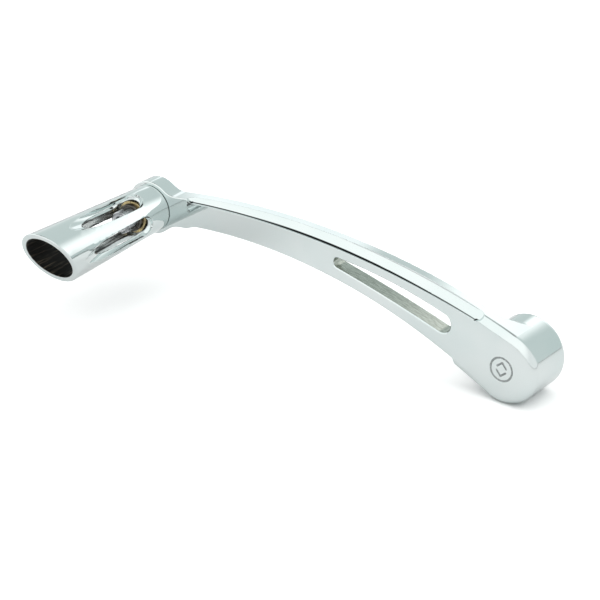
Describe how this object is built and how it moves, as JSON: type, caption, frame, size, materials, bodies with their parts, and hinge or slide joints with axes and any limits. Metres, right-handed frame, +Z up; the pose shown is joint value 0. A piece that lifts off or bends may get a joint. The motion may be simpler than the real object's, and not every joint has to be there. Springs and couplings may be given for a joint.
{
  "type": "gear shift lever",
  "caption": "Chrome motorcycle gear shift lever: an arched billet arm with a long slot and two coves, a clamp hub for a splined shaft, and a fluted tubular toe peg.",
  "frame": {"origin": "middle of the splined clamp bore, on its axis", "axes": "+X from the toe peg towards the hub, along the arm; +Y along the bore's axis from the outer face towards the engine; +Z up"},
  "size_m": [0.2546, 0.1175, 0.0476],
  "materials": {
    "chromed_billet": "mirror chrome plate on machined aluminium",
    "zinc_steel": "bright zinc plate on steel",
    "yellow_zinc_steel": "yellow zinc plate on steel",
    "lock_washer_steel": "spring steel, lightly oiled",
    "sleeve_steel": "broached splines, lightly oiled",
    "insert_steel": "stainless wire"
  },
  "bodies": {
    "lever": {"lever_arm": "chromed_billet", "spline_sleeve": "sleeve_steel", "peg_seat_washer": "zinc_steel", "peg_thread_insert": "insert_steel", "pinch_thread_insert": "insert_steel"},
    "toe_peg": {"toe_peg": "chromed_billet"},
    "peg_washers": {"peg_flat_washer": "yellow_zinc_steel", "peg_lock_washer": "lock_washer_steel"},
    "peg_screw": {"peg_screw": "zinc_steel"},
    "pinch_washer": {"pinch_lock_washer": "lock_washer_steel"},
    "pinch_bolt": {"pinch_bolt": "zinc_steel"}
  },
  "joints": [
    {"name": "toe_peg_turn", "type": "hinge", "parent": "lever", "child": "toe_peg", "pos_m": [-0.22, -0.0193, 0], "axis": [0, -1, 0], "continuous": true},
    {"name": "peg_washers_withdraw", "type": "slide", "parent": "lever", "child": "peg_washers", "axis": [0, -1, 0], "range_m": [0, 0.00825]},
    {"name": "peg_screw_turn", "type": "hinge", "parent": "peg_washers", "child": "peg_screw", "pos_m": [-0.22, -0.03595, 0], "axis": [0, -1, 0], "range_deg": [0, 2810]},
    {"name": "pinch_washer_withdraw", "type": "slide", "parent": "lever", "child": "pinch_washer", "axis": [0.2588, 0, -0.9659], "range_m": [0, 0.0074]},
    {"name": "pinch_bolt_turn", "type": "hinge", "parent": "pinch_washer", "child": "pinch_bolt", "pos_m": [-0.01372, 0.003, -0.00368], "axis": [0.2588, 0, -0.9659], "range_deg": [0, 2940]}
  ],
  "couplings": [
    {"joint": "peg_screw_turn", "follows": "peg_washers_withdraw", "rad_per_m": 5936.9},
    {"joint": "pinch_bolt_turn", "follows": "pinch_washer_withdraw", "rad_per_m": 6926.3}
  ]
}
